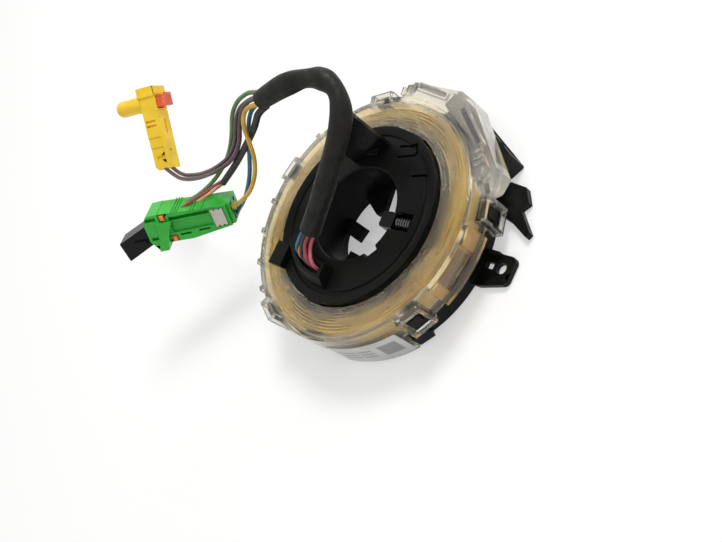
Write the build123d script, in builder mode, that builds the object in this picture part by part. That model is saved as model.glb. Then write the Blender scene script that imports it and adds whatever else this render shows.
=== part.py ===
from build123d import *
from math import cos, pi, radians, sin, tan
import os

# Steering clock spring: the coil unit between a steering column and its wheel.
# Its axis is Z. The wheel side is +Z, the back of the base lies on Z = 0,
# and the visible mounting ear points along +Y. All lengths are millimetres.

os.makedirs("parts", exist_ok=True)

# ---- driving dimensions -------------------------------------------------
# fits
slide_gap = 0.3  # between pieces that move past each other
turn_gap = 0.4  # between the rotor and the stator

# stator: base, clear cover and the chamber between them
stator_height = 24.0  # back of the base to the face of the clear cover
cover_radius = 52.0
cover_wall = 2.0
cover_face = 1.8
cover_opening = 38.4  # radius of the hole that the rotor flange fills
base_inset = 3.0  # the base's wall stands this far inside the cover's skirt
base_wall = 2.5
floor_top = 11.0  # height of the chamber's floor
floor_thickness = 2.0
ledge_inset = 0.8  # the floor's rim, on which the skirt stands, is smaller than it
label_wall_gap = 0.4  # between that rim and the wall that carries the label

# rotor: top shell, and the ring that clips on from behind
bore_radius = 19.4
hub_wall = 2.0
flange_radius = 37.6
flange_thickness = 2.0
rim_height = 0.6  # raised edge of the rotor's face
rotor_stand = 1.4  # the rotor's face above the cover's face
drum_radius = 36.8
shell_wall = 2.0
neck_radius = 34.2
retainer_thickness = 2.5
retainer_radius = 38.8
retainer_step = 0.9  # the retainer's bore is wider than the hub's
finger_width = 6.1
lug_reach = 8.5  # inner ends of the tapered drive lugs
lug_tip = 4.0
lug_root = 15.0

# flat cable
cable_headroom = 0.9  # between the cable and the inside of the cover's face
cable_thickness = 0.5
cable_pitch = 1.2
cable_turns = 7
cable_start = 40.2

# mounting ears
ear_reach = 8.7  # screw holes, out from the base's wall
ear_end = 4.9  # tip of the ear, out from its screw hole
ear_root_width = 17.0
ear_tip_width = 10.6
ear_thickness = 2.5
ear_hole = 2.1
ear_slot_length = 3.6
ear_slot_width = 2.4
ear_slot_reach = 3.4  # the slot, out from the base's wall
ear_lip = 1.6

# snap clips that hold the cover on the base
clip_width = 11.0
clip_bar = 1.7
clip_depth = 3.4
tongue_width = 7.0
tongue_thickness = 1.1

# spring-loaded lock
lock_angle = 93.0
lock_travel = 4.0
lock_width = 6.4
lock_height = 5.8
lock_reach = 14.1  # radius of the slider's nose
lock_tongue_width = 8.4
lock_tongue_height = 1.3
spring_diameter = 4.4
spring_wire = 0.6
spring_start = 21.0
spring_end = 28.8
spring_coils = 6

# cable tower
tower_start = -52.0
tower_end = 6.0
tower_inner = 23.4
tower_height = 5.6
tower_wall = 1.4
tower_top = 3.2  # width of the tower's flat top, outside its slot
box_at = (36.6, -46.6)  # the closed box at the tower's end: radius and angle
box_length = 10.0
box_width = 7.6
box_height = 3.4

# guide flap
flap_height = 24.0
flap_thickness = 2.0

# harness
sleeve_diameter = 8.4
wire_diameter = 1.8
bundle_diameter = 2.8
lead_diameter = 1.3
tower_lead_diameter = 1.5
tower_lead_count = 6

# ---- sizes worked out from them -----------------------------------------
cover_inside = stator_height - cover_face
face_top = stator_height + rotor_stand
face_bottom = face_top - flange_thickness
floor_bottom = floor_top - floor_thickness
retainer_top = floor_bottom - turn_gap
retainer_bottom = retainer_top - retainer_thickness
skirt_inside = cover_radius - cover_wall
base_radius = cover_radius - base_inset
ledge_radius = cover_radius - ledge_inset
ledge_cut_radius = skirt_inside - label_wall_gap
ear_pitch_radius = base_radius + ear_reach
ear_tip = ear_pitch_radius + ear_end
ear_slot_radius = base_radius + ear_slot_reach
retainer_bore = bore_radius + retainer_step
cable_width = cover_inside - cable_headroom - slide_gap - floor_top


def polar(radius, angle):
    """A point of the XY plane at a radius and an angle in degrees."""
    return (radius * cos(radians(angle)), radius * sin(radians(angle)))


def outward(angle, radius, height=0.0):
    """A plane whose normal points outward, with its Y up and its X to the left."""
    x, y = polar(radius, angle)
    across = polar(1, angle + 90)
    return Plane(origin=(x, y, height), x_dir=(*across, 0), z_dir=(*polar(1, angle), 0))


def outline(radius, corners):
    """Points given as an angle and a distance out from a radius."""
    return [polar(radius + out, angle) for angle, out in corners]


def ring_sector(inner, outer, start, end):
    """A flat piece of a ring between two radii and two angles."""
    with BuildSketch() as piece:
        with BuildLine():
            near = CenterArc((0, 0), inner, start, end - start)
            far = CenterArc((0, 0), outer, start, end - start)
            Line(near @ 0, far @ 0)
            Line(near @ 1, far @ 1)
        make_face()
    return piece.sketch


def ring(inner, outer):
    """A flat ring."""
    with BuildSketch() as piece:
        Circle(outer)
        Circle(inner, mode=Mode.SUBTRACT)
    return piece.sketch


def ear_outline():
    """The outline of one ear, lying along the X axis."""
    half_root, half_tip = ear_root_width / 2, ear_tip_width / 2
    with BuildSketch() as piece:
        Polygon(
            (base_radius - base_wall, -half_root),
            (ear_slot_radius - 1, -half_root),
            (ear_tip, -half_tip),
            (ear_tip, half_tip),
            (ear_slot_radius - 1, half_tip),
            (base_radius - base_wall, half_tip),
            align=None,
        )
        fillet(piece.vertices().group_by(Axis.X)[-1], 2.4)
    return piece.sketch


# ---- stator base ----------------------------------------------------------
# Each clip is an angle, the bottom of its frame and its height.
clips = [(56, 11.0, 12.6), (107, 5.0, 13.6), (200, 11.0, 12.6), (257, 11.0, 12.6), (332, 11.0, 12.6)]
rib_count = 12
rib_thickness = 1.6
foot_angle = 50.0
label_start, label_end = 7.0, 45.0
foot_width = 7.0
foot_height = 5.6
# the arm's corners: an angle, and how far out from the base's wall
arm_corners = [
    (124.4, 0.7), (125.6, 7.1), (120.7, 13.1), (114.5, 13.9), (112.9, 10.7),
    (103.5, 15.9), (102.0, 14.6), (107.9, 7.7), (114.2, -0.1),
]
arm_thickness = 3.0
connector_angle = 149.0
connector_width = 38.0
connector_depth = 7.2
connector_height = 10.6
connector_wall = 1.6
socket_depth = 5.4
connector_seat = ledge_radius + 0.1
connector_outer = connector_seat + connector_depth

with BuildPart() as stator_base:
    # floor of the cable chamber, with the ledge under the cover's skirt
    with BuildSketch(Plane.XY.offset(floor_bottom)):
        Circle(ledge_radius)
        add(ring_sector(ledge_cut_radius, ledge_radius + 1, label_start - 1, label_end + 1), mode=Mode.SUBTRACT)
        Circle(neck_radius + turn_gap, mode=Mode.SUBTRACT)
    extrude(amount=floor_thickness)
    # outer wall down to the back
    with BuildSketch(Plane.XY):
        add(ring(base_radius - base_wall, base_radius))
    extrude(amount=floor_bottom)
    # stiffening ribs under the floor
    with BuildSketch(Plane.XY.offset(retainer_bottom)):
        with PolarLocations((retainer_radius + turn_gap + base_radius - base_wall) / 2, rib_count):
            Rectangle(base_radius - base_wall - retainer_radius - turn_gap + 0.6, rib_thickness)
    extrude(amount=floor_bottom - retainer_bottom)
    # two opposite mounting ears, with a screw hole, a slot and a side lip
    with BuildSketch(Plane.XY):
        with PolarLocations(0, 2, start_angle=90):
            add(ear_outline())
        Circle(base_radius - base_wall, mode=Mode.SUBTRACT)
        with PolarLocations(ear_pitch_radius, 2, start_angle=90):
            Circle(ear_hole, mode=Mode.SUBTRACT)
        with PolarLocations(ear_slot_radius, 2, start_angle=90):
            Rectangle(ear_slot_length, ear_slot_width, mode=Mode.SUBTRACT)
    extrude(amount=ear_thickness)
    with BuildSketch(Plane.XY):
        with PolarLocations(base_radius - 1, 2, start_angle=90):
            with Locations((0, ear_tip_width / 2)):
                Rectangle(8, ear_lip, align=(Align.MIN, Align.MAX))
    extrude(amount=2 * ear_thickness)
    # arm beside the ear, with its slanting leg
    with BuildSketch(Plane.XY):
        Polygon(*outline(base_radius, arm_corners), align=None)
    extrude(amount=arm_thickness)
    # seat of the column-side connector
    with BuildSketch(outward(connector_angle, base_radius - 1.2, 0)):
        with Locations((0, connector_height / 2)):
            Rectangle(connector_width - 6, connector_height - 3)
    extrude(amount=connector_seat - base_radius + 1.2)
    # tongues behind the clip frames, each with its barb
    for angle, bottom, height in clips:
        top = bottom + height - clip_bar - slide_gap
        root = min(bottom, floor_bottom)
        tongue_at = cover_radius + slide_gap
        with BuildSketch(outward(angle, tongue_at, 0)):
            with Locations((0, root)):
                Rectangle(tongue_width, top - root, align=(Align.CENTER, Align.MIN))
        extrude(amount=tongue_thickness)
        with BuildSketch(outward(angle, base_radius - 1, 0)):
            with Locations((0, root)):
                Rectangle(tongue_width, floor_top - 0.4 - root, align=(Align.CENTER, Align.MIN))
        extrude(amount=tongue_at + tongue_thickness - base_radius + 1)
        with BuildSketch(outward(angle, tongue_at + tongue_thickness, 0)):
            with Locations((0, bottom + height / 2 + 0.6)):
                Rectangle(tongue_width - 2, height - 2 * clip_bar - 4)
        extrude(amount=clip_depth - tongue_thickness - 0.9, taper=12)
    # small foot block under the first clip
    with BuildSketch(outward(foot_angle, base_radius - 1, 0)):
        with Locations((0, 1.4)):
            Rectangle(foot_width, foot_height, align=(Align.CENTER, Align.MIN))
    extrude(amount=4.2)
stator_base.part.label = "stator_base"
export_step(stator_base.part, "parts/stator_base.step")

# ---- clear cover ------------------------------------------------------------
lobe_start, lobe_end = 68.0, 97.0
lobe_depth = 3.0
lobe_bottom = 12.4
lobe_window = (73.0, 89.0, 16.5)
lobe_radius = cover_radius + lobe_depth
rim_ribs = [220, 237, 252, 274, 289, 305, 320]
# the hood's corners: an angle, and how far out from the cover's skirt
hood_corners = [
    (189.0, -1.0), (189.0, 4.0), (185.0, 7.8), (160.0, 9.4), (153.0, 9.4),
    (120.0, 8.4), (115.0, 5.0), (113.6, -1.0),
]
hood_bottom = connector_height + 0.5
hood_step = 2.2
# raised channels on the hood: an angle and a length
hood_bars = [(170.0, 17.5), (140.0, 21.0)]
bar_width = 3.4
bar_rise = 1.3
bar_groove = 1.6
bar_reach = 3.8  # middle of the bars, out from the skirt
# short ribs at the hood's two corners
corner_ribs = [(187.0, 3.6), (184.4, 4.4), (181.8, 4.4), (128.6, 4.6), (125.6, 4.6), (122.6, 4.6)]
rib_rise = 0.9

with BuildPart() as clear_cover:
    # face and skirt
    with BuildSketch(Plane.XY.offset(cover_inside)):
        add(ring(cover_opening, cover_radius))
    extrude(amount=cover_face)
    with BuildSketch(Plane.XY.offset(floor_top)):
        add(ring(skirt_inside, cover_radius))
    extrude(amount=cover_inside - floor_top)
    # bead round the opening, and a shallow step near the rim
    with BuildSketch(Plane.XY.offset(cover_inside - 1.2)):
        add(ring(cover_opening, cover_opening + 1.0))
    extrude(amount=1.2)
    with BuildSketch(Plane.XY.offset(stator_height)):
        add(ring(cover_radius - 2.2, cover_radius - 0.8))
    extrude(amount=0.5)
    # wall that carries the label, down over the base
    with BuildSketch(Plane.XY):
        add(ring_sector(skirt_inside, cover_radius, label_start, label_end))
    extrude(amount=floor_top)
    # lobe beside the ear, with a sunk window in its outer face
    with BuildSketch(Plane.XY.offset(lobe_bottom)):
        add(ring_sector(cover_radius - 1, lobe_radius, lobe_start, lobe_end))
    extrude(amount=stator_height - lobe_bottom)
    with BuildSketch(Plane.XY.offset(lobe_window[2])):
        add(ring_sector(lobe_radius - 1.3, lobe_radius + 1, lobe_window[0], lobe_window[1]))
    extrude(amount=stator_height, mode=Mode.SUBTRACT)
    # hood over the column-side connector, in two tiers
    with BuildSketch(Plane.XY.offset(hood_bottom)):
        Polygon(*outline(cover_radius, hood_corners), align=None)
        Circle(cover_radius - 1, mode=Mode.SUBTRACT)
    extrude(amount=stator_height - hood_step - hood_bottom)
    with BuildSketch(Plane.XY.offset(stator_height - hood_step)):
        with BuildSketch(mode=Mode.PRIVATE) as tier:
            Polygon(*outline(cover_radius, hood_corners), align=None)
            offset(amount=-hood_step, kind=Kind.INTERSECTION)
        add(tier.sketch)
        Circle(cover_radius - 1, mode=Mode.SUBTRACT)
    extrude(amount=hood_step)
    # raised channels and short ribs on the hood's upper tier
    for angle, length in hood_bars:
        at = polar(cover_radius + bar_reach, angle)
        bar_plane = Plane(origin=(*at, stator_height - 1), x_dir=(*polar(1, angle + 90), 0))
        with BuildSketch(bar_plane):
            Rectangle(length, bar_width)
        extrude(amount=bar_rise + 1)
        with BuildSketch(bar_plane.offset(bar_rise + 1)):
            Rectangle(length - 2.4, bar_groove)
        extrude(amount=-bar_rise, mode=Mode.SUBTRACT)
    for angle, out in corner_ribs:
        with BuildSketch(Plane.XY.offset(stator_height - 1)):
            with PolarLocations(cover_radius + 0.4, 1, start_angle=angle):
                Rectangle(out, 1.1, align=(Align.MIN, Align.CENTER))
        extrude(amount=rib_rise + 1)
    # stiffening ribs along the rim
    for angle in rim_ribs:
        with BuildSketch(outward(angle, cover_radius - 1, 0)):
            with Locations((0, floor_top + 2)):
                Rectangle(2.4, stator_height - floor_top - 2, align=(Align.CENTER, Align.MIN))
        extrude(amount=2.8)
    # clip frames: a bridge that stands off the skirt, with a window
    for angle, bottom, height in clips:
        with BuildSketch(outward(angle, cover_radius - 0.8, 0)):
            with Locations((0, bottom)):
                Rectangle(clip_width, height, align=(Align.CENTER, Align.MIN))
        extrude(amount=clip_depth + 0.8)
        with BuildSketch(outward(angle, cover_radius, 0)):
            with Locations((0, bottom + height - clip_bar)):
                Rectangle(tongue_width + 2 * slide_gap, height + 2, align=(Align.CENTER, Align.MAX))
        extrude(amount=tongue_thickness + 2 * slide_gap, mode=Mode.SUBTRACT)
        with BuildSketch(outward(angle, cover_radius, 0)):
            with Locations((0, bottom + height / 2)):
                Rectangle(tongue_width + 2 * slide_gap, height - 2 * clip_bar)
        extrude(amount=clip_depth + 1, mode=Mode.SUBTRACT)
        # the tongue's root passes under the skirt
        with BuildSketch(outward(angle, cover_radius - 1.2, 0)):
            Rectangle(tongue_width + 2 * slide_gap, floor_top - 0.2, align=(Align.CENTER, Align.MIN))
        extrude(amount=1.6, mode=Mode.SUBTRACT)
clear_cover.part.label = "clear_cover"
export_step(clear_cover.part, "parts/clear_cover.step")

# ---- identification label ---------------------------------------------------
label_thickness = 0.25
label_margin = 1.0
label_clear = 9.0  # the label stops this far below the cover's face
with BuildPart() as id_label:
    with BuildSketch(Plane.XY.offset(label_margin)):
        add(ring_sector(cover_radius, cover_radius + label_thickness, label_start + 1, label_end - 1))
    extrude(amount=stator_height - label_clear)
id_label.part.label = "id_label"
export_step(id_label.part, "parts/id_label.step")

# ---- column-side connector and its pins --------------------------------------
pin_count = 6
pin_pitch = 5.2
pin_size = 0.9
with BuildPart() as stator_connector:
    with BuildSketch(outward(connector_angle, connector_seat, 0)):
        with Locations((0, 0)):
            Rectangle(connector_width, connector_height, align=(Align.CENTER, Align.MIN))
    extrude(amount=connector_outer - connector_seat)
    fillet(stator_connector.edges().filter_by(Axis.Z), 1.2)
    with BuildSketch(outward(connector_angle, connector_outer, connector_height / 2)):
        Rectangle(connector_width - 2 * connector_wall, connector_height - 2 * connector_wall)
    extrude(amount=-socket_depth, mode=Mode.SUBTRACT)
    # keys on the plug's top and bottom
    with BuildSketch(outward(connector_angle, connector_outer, connector_height / 2)):
        with GridLocations(connector_width * 0.6, connector_height - 2 * connector_wall + 0.6, 2, 2):
            Rectangle(3, 1.4)
    extrude(amount=-socket_depth + 1, mode=Mode.SUBTRACT)
    # the seat's floor has one hole for each pin
    with BuildSketch(outward(connector_angle, connector_seat, connector_height / 2)):
        with GridLocations(pin_pitch, 1, pin_count, 1):
            Rectangle(pin_size, pin_size)
    extrude(amount=connector_outer - connector_seat, mode=Mode.SUBTRACT)
stator_connector.part.label = "stator_connector"
export_step(stator_connector.part, "parts/stator_connector.step")

with BuildPart() as stator_pins:
    with BuildSketch(outward(connector_angle, connector_seat, connector_height / 2)):
        with GridLocations(pin_pitch, 1, pin_count, 1):
            Rectangle(pin_size, pin_size)
    extrude(amount=connector_outer - connector_seat - 1.5)
stator_pins.part.label = "stator_pins"
export_step(stator_pins.part, "parts/stator_pins.step")

# ---- flat cable and its two terminal blocks ----------------------------------
# The band is wound from half circles on two centres, half a pitch apart.
cable_bottom = floor_top + slide_gap
with BuildPart() as flat_cable:
    with BuildSketch(Plane.XY.offset(cable_bottom)):
        with BuildLine():
            for face in (-cable_thickness / 2, cable_thickness / 2):
                for half in range(2 * cable_turns):
                    centre = (0, 0) if half % 2 == 0 else (cable_pitch / 2, 0)
                    radius = cable_start + half * cable_pitch / 2 + face
                    CenterArc(centre, radius, 180 * (half % 2), 180)
            for turn in (0, cable_turns):
                at = cable_start + turn * cable_pitch
                Line((at - cable_thickness / 2, 0), (at + cable_thickness / 2, 0))
        make_face()
    extrude(amount=cable_width)
flat_cable.part.label = "flat_cable"
export_step(flat_cable.part, "parts/flat_cable.step")

outer_end = cable_start + cable_turns * cable_pitch
terminal_width = 1.4
terminal_length = 6.0
with BuildPart() as outer_terminal:
    with BuildSketch(Plane.XY.offset(floor_top)):
        with Locations((outer_end - cable_pitch + cable_thickness / 2 + slide_gap, 0)):
            Rectangle(terminal_width, terminal_length, align=Align.MIN)
    extrude(amount=cable_width + slide_gap)
outer_terminal.part.label = "outer_terminal"
export_step(outer_terminal.part, "parts/outer_terminal.step")

terminal_outer = cable_start - cable_thickness / 2 - turn_gap
with BuildPart() as inner_terminal:
    with BuildSketch(Plane.XY.offset(floor_top + turn_gap)):
        add(ring_sector(drum_radius, terminal_outer, 346, 358))
    extrude(amount=cable_width - 1)
inner_terminal.part.label = "inner_terminal"
export_step(inner_terminal.part, "parts/inner_terminal.step")

# ---- rotor top: hub, face and drum in one moulding ----------------------------
rotor_rib_count = 8
pocket_angle = lock_angle
pocket_length = spring_end + 0.6
lock_floor = face_top - lock_height - slide_gap
# latch tongue cut free on three sides, and a slot beside it
latch_at = (31.0, 158.0)
latch_length, latch_width, latch_cut = 9.4, 5.4, 0.9
slot_at = (30.6, 131.0)
slot_length = 8.0
cut_angle = 103.0
# key slot in the bore
key_angle = 52.0
key_width = 5.6
key_depth = 2.5

with BuildPart() as rotor_top:
    with BuildSketch(Plane.XZ) as half_section:
        with BuildLine():
            Polyline(
                (bore_radius, retainer_top),
                (bore_radius, face_top),
                (neck_radius - 1.6, face_top),
                (neck_radius - 1.6, face_top - rim_height),
                (neck_radius - 0.4, face_top - rim_height),
                (neck_radius - 0.4, face_top),
                (flange_radius - 1.4, face_top + rim_height),
                (flange_radius, face_top + rim_height),
                (flange_radius, face_bottom),
                (drum_radius, face_bottom),
                (drum_radius, floor_top + turn_gap),
                (neck_radius, floor_top + turn_gap),
                (neck_radius, retainer_top),
                (neck_radius - shell_wall, retainer_top),
                (neck_radius - shell_wall, face_bottom),
                (bore_radius + hub_wall, face_bottom),
                (bore_radius + hub_wall, retainer_top),
                close=True,
            )
        make_face()
    revolve(axis=Axis.Z)
    # ribs between hub and drum
    with BuildSketch(Plane.XY.offset(retainer_top + 4)):
        with PolarLocations(bore_radius + hub_wall - 0.5, rotor_rib_count, start_angle=lock_angle + 22.5):
            Rectangle(neck_radius - shell_wall - bore_radius - hub_wall + 1, 1.6, align=(Align.MIN, Align.CENTER))
    extrude(amount=face_bottom - retainer_top - 4)
    # block under the face that the lock's pocket is cut into
    with BuildSketch(Plane.XY.offset(lock_floor - 1.8)):
        with PolarLocations(bore_radius + 0.6, 1, start_angle=pocket_angle):
            Rectangle(neck_radius - bore_radius - 2, lock_tongue_width + 4, align=(Align.MIN, Align.CENTER))
    extrude(amount=face_bottom - lock_floor + 1.8)
    with BuildSketch(Plane.XY.offset(lock_floor)):
        with PolarLocations(bore_radius - 3, 1, start_angle=pocket_angle):
            Rectangle(pocket_length - bore_radius + 3, lock_tongue_width + 2 * slide_gap,
                      align=(Align.MIN, Align.CENTER))
    extrude(amount=lock_tongue_height + 2 * slide_gap, mode=Mode.SUBTRACT)
    with BuildSketch(Plane.XY.offset(lock_floor)):
        with PolarLocations(bore_radius - 3, 1, start_angle=pocket_angle):
            Rectangle(pocket_length - bore_radius + 3, lock_width + 2 * slide_gap, align=(Align.MIN, Align.CENTER))
    extrude(amount=lock_height + 2, mode=Mode.SUBTRACT)
    # latch tongue and slot in the face
    along = (*polar(1, cut_angle), 0)
    with BuildSketch(Plane(origin=(*polar(*latch_at), face_bottom), x_dir=along)):
        Rectangle(latch_length, latch_width)
        with Locations((-latch_cut, 0)):
            Rectangle(latch_length, latch_width - 2 * latch_cut, mode=Mode.SUBTRACT)
    extrude(amount=flange_thickness + 1, mode=Mode.SUBTRACT)
    with BuildSketch(Plane(origin=(*polar(*slot_at), face_bottom), x_dir=along)):
        Rectangle(slot_length, latch_cut)
    extrude(amount=flange_thickness + 1, mode=Mode.SUBTRACT)
    chamfer(rotor_top.edges().filter_by(GeomType.CIRCLE).filter_by(
        lambda e: abs(e.center().Z - face_top) < 0.01 and abs(e.radius - bore_radius) < 0.01), 0.6)
    # key slot down the bore, in a boss of its own
    with BuildSketch(Plane.XY.offset(retainer_top)):
        with PolarLocations(bore_radius + 1, 1, start_angle=key_angle):
            Rectangle(key_depth + hub_wall - 1, key_width + 2 * hub_wall, align=(Align.MIN, Align.CENTER))
    extrude(amount=face_bottom - retainer_top)
    with BuildSketch(Plane.XY.offset(retainer_top)):
        with PolarLocations(bore_radius - 2, 1, start_angle=key_angle):
            Rectangle(key_depth + 2, key_width, align=(Align.MIN, Align.CENTER))
    extrude(amount=face_top - retainer_top + 1, mode=Mode.SUBTRACT)
rotor_top.part.label = "rotor_top"
export_step(rotor_top.part, "parts/rotor_top.step")

# ---- rotor ring: retainer with the drive fingers and lugs ------------------------
# Each finger is an angle, its offset from the middle and the radius that it reaches.
fingers = [(257.0, 5.8, 8.1), (352.0, -6.6, 13.0)]
lug_angles = [215.0, 43.0]
collar_height = 2.4
collar_wall = 1.6

with BuildPart() as rotor_ring:
    with BuildSketch(Plane.XY.offset(retainer_bottom)):
        Circle(retainer_radius)
        Circle(retainer_bore, mode=Mode.SUBTRACT)
        for angle, aside, reach in fingers:
            with Locations(Location((0, 0), angle)):
                with Locations((reach, aside)):
                    Rectangle(retainer_bore - reach, finger_width, align=(Align.MIN, Align.CENTER))
        for angle in lug_angles:
            with Locations(Location((0, 0), angle)):
                Polygon(
                    (lug_reach, -lug_tip / 2),
                    (retainer_bore, -lug_root / 2),
                    (retainer_bore, lug_root / 2),
                    (lug_reach, lug_tip / 2),
                    align=None,
                )
    extrude(amount=retainer_thickness)
    # collar that locates inside the rotor's neck
    with BuildSketch(Plane.XY.offset(retainer_top)):
        add(ring(neck_radius - shell_wall - collar_wall - 0.1, neck_radius - shell_wall - 0.1))
    extrude(amount=collar_height)
    with BuildSketch(Plane.XY.offset(retainer_bottom - collar_wall)):
        add(ring(retainer_bore, retainer_bore + 2))
    extrude(amount=collar_wall)
rotor_ring.part.label = "rotor_ring"
export_step(rotor_ring.part, "parts/rotor_ring.step")

# ---- spring-loaded lock ----------------------------------------------------------
spring_height = lock_floor + 2 * slide_gap + lock_tongue_height + spring_diameter / 2
lock_plane = Plane.XY.rotated((0, 0, lock_angle)).offset(lock_floor + slide_gap)
with BuildPart() as lock_slider:
    with BuildSketch(lock_plane):
        with Locations((lock_reach, 0)):
            Rectangle(spring_start - slide_gap - lock_reach, lock_width, align=(Align.MIN, Align.CENTER))
    extrude(amount=lock_height)
    chamfer(lock_slider.edges().filter_by(Axis.Z).group_by(
        lambda e: round((e.center().X ** 2 + e.center().Y ** 2) ** 0.5, 2))[0], 0.8)
    # tongue that runs in the side grooves of the pocket
    with BuildSketch(lock_plane):
        with Locations((bore_radius - 0.6, 0)):
            Rectangle(spring_start - bore_radius + 3.4, lock_tongue_width, align=(Align.MIN, Align.CENTER))
    extrude(amount=lock_tongue_height)
lock_slider.part.label = "lock_slider"
export_step(lock_slider.part, "parts/lock_slider.step")

spring_pitch = (spring_end - spring_start - spring_wire) / spring_coils
with BuildPart() as lock_spring:
    with BuildLine() as coil:
        Helix(
            pitch=spring_pitch,
            height=spring_pitch * spring_coils,
            radius=(spring_diameter - spring_wire) / 2,
            center=(*polar(spring_start + spring_wire / 2, lock_angle), spring_height),
            direction=(*polar(1, lock_angle), 0),
        )
    with BuildSketch(Plane(origin=coil.line @ 0, z_dir=coil.line % 0)):
        RegularPolygon(spring_wire / 2, 6)
    sweep(is_frenet=True)
lock_spring.part.label = "lock_spring"
export_step(lock_spring.part, "parts/lock_spring.step")

# ---- cable tower -----------------------------------------------------------------
tower_base = face_top
tower_flat = tower_inner + 2 * tower_wall + tower_top
slot_width = 3.2
slot_floor = 2.4
with BuildPart() as cable_tower:
    with BuildSketch(Plane.XZ.rotated((0, 0, tower_start))):
        with BuildLine():
            Polyline(
                (tower_inner, tower_base),
                (tower_inner, tower_base + tower_height),
                (tower_flat, tower_base + tower_height),
                (neck_radius - 2.6, tower_base + tower_height - 3.2),
                (neck_radius - 2.0, tower_base),
                close=True,
            )
        make_face()
    revolve(axis=Axis.Z, revolution_arc=tower_end - tower_start)
    # closed box at the end, overhanging the cover
    with BuildSketch(Plane.XY.offset(tower_base + rim_height)):
        with Locations(polar(*box_at)):
            Rectangle(box_length, box_width)
    extrude(amount=box_height)
    # slot that the leads come out of
    with BuildSketch(Plane.XY.offset(tower_base + tower_height)):
        add(ring_sector(tower_inner + tower_wall, tower_inner + tower_wall + slot_width, -34, tower_end - 4))
    extrude(amount=slot_floor - tower_height, mode=Mode.SUBTRACT)
cable_tower.part.label = "cable_tower"
export_step(cable_tower.part, "parts/cable_tower.step")

# ---- guide flap -------------------------------------------------------------------
flap_clip = (24.4, 31.4, 184, 206)  # its foot: two radii and two angles
flap_clip_height = 2.0
flap_foot = (30.2, 178.0)
flap_end = (24.2, 212.0)
with BuildPart() as guide_flap:
    start_point = Vector(*polar(*flap_foot))
    end_point = Vector(*polar(*flap_end))
    run = end_point - start_point
    foot = (start_point.X, start_point.Y, tower_base)
    with BuildSketch(Plane(origin=foot, x_dir=run, z_dir=run.cross(Vector(0, 0, 1)))):
        with BuildLine():
            Polyline(
                (0, 0),
                (run.length, 0),
                (run.length, flap_height * 0.62),
                (run.length * 0.72, flap_height * 0.9),
                (run.length * 0.3, flap_height),
                (0, flap_height),
                close=True,
            )
        make_face()
    extrude(amount=flap_thickness / 2, both=True)
    # foot that clips onto the rotor's face
    with BuildSketch(Plane.XY.offset(tower_base)):
        add(ring_sector(*flap_clip))
    extrude(amount=flap_clip_height)
guide_flap.part.label = "guide_flap"
export_step(guide_flap.part, "parts/guide_flap.step")

# ---- harness -----------------------------------------------------------------------
# The routes are centre lines, from the sleeve's lower end up and over to the plugs.
sleeve_route = [
    (14.6, -4.8, 38.0), (7.4, -0.4, 42.8), (0.2, 4.1, 48.2), (-5.6, 8.0, 52.8), (-11.4, 11.8, 57.6),
    (-17.2, 15.0, 62.0), (-23.2, 16.6, 66.4), (-29.4, 13.4, 70.0), (-32.0, 6.4, 72.2),
    (-31.0, -1.4, 73.0), (-28.6, -9.4, 72.8), (-25.2, -17.4, 71.8), (-21.3, -25.5, 70.0),
]
green_route = [
    (-23.3, -25.0, 72.6), (-23.3, -30.3, 71.6), (-23.0, -35.2, 70.7), (-19.7, -40.9, 69.5),
    (-15.0, -45.5, 65.9), (-10.1, -50.3, 58.9), (-5.0, -56.0, 52.5), (0.8, -62.1, 47.6),
    (7.4, -68.8, 44.3), (14.3, -73.1, 44.6), (18.3, -75.4, 46.1), (22.0, -76.9, 47.5),
]
purple_a_route = [
    (-24.0, -24.9, 70.3), (-22.2, -30.4, 69.6), (-20.5, -35.4, 68.9), (-17.3, -40.5, 67.5),
    (-12.5, -43.9, 63.5), (-7.7, -47.7, 57.3), (-2.1, -53.9, 52.4), (3.0, -64.1, 49.4),
    (4.8, -75.4, 45.4), (6.2, -87.4, 41.5), (8.0, -103.2, 39.5), (4.1, -117.8, 37.8),
]
purple_b_route = [
    (-20.7, -24.1, 72.7), (-20.2, -27.9, 71.9), (-19.5, -31.5, 71.0), (-16.6, -36.5, 68.7),
    (-12.1, -39.9, 64.2), (-7.3, -43.8, 57.8), (-1.4, -50.1, 52.8), (4.4, -61.8, 49.6),
    (8.3, -83.5, 43.0), (9.9, -98.0, 40.8), (8.5, -108.0, 40.4), (6.2, -119.0, 40.2),
]
ochre_route = [
    (-19.3, -23.2, 70.5), (-18.3, -28.6, 71.0), (-15.5, -32.9, 69.7), (-11.5, -35.2, 65.6),
    (-8.1, -35.3, 60.5), (-4.1, -36.5, 53.6), (1.5, -38.1, 48.3), (7.3, -42.1, 44.1),
    (11.7, -46.9, 42.4), (13.4, -52.7, 39.9), (14.2, -56.2, 38.3), (14.9, -59.8, 36.7),
]
blue_route = [
    (-22.4, -24.2, 69.5), (-20.3, -28.6, 68.4), (-18.3, -32.6, 67.2), (-15.2, -37.3, 63.2),
    (-11.4, -43.4, 55.8), (-5.0, -44.5, 50.5), (0.7, -44.5, 46.6), (6.4, -46.8, 42.4),
    (11.7, -53.5, 36.5), (15.7, -61.8, 31.7),
]
bundle_route = [
    (-20.5, -23.3, 67.9), (-17.3, -27.2, 67.7), (-13.8, -30.6, 64.0), (-11.3, -35.0, 60.7),
    (-8.6, -40.2, 57.1), (-3.1, -49.4, 51.0), (2.6, -55.7, 47.5), (7.4, -61.2, 44.9),
]
lead_red_route = [
    (6.7, -60.5, 46.0), (8.1, -63.5, 45.4), (9.7, -66.1, 45.0), (14.0, -67.5, 46.5),
    (19.2, -71.2, 48.0), (22.2, -73.0, 49.0), (25.2, -75.0, 49.6),
]
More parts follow.
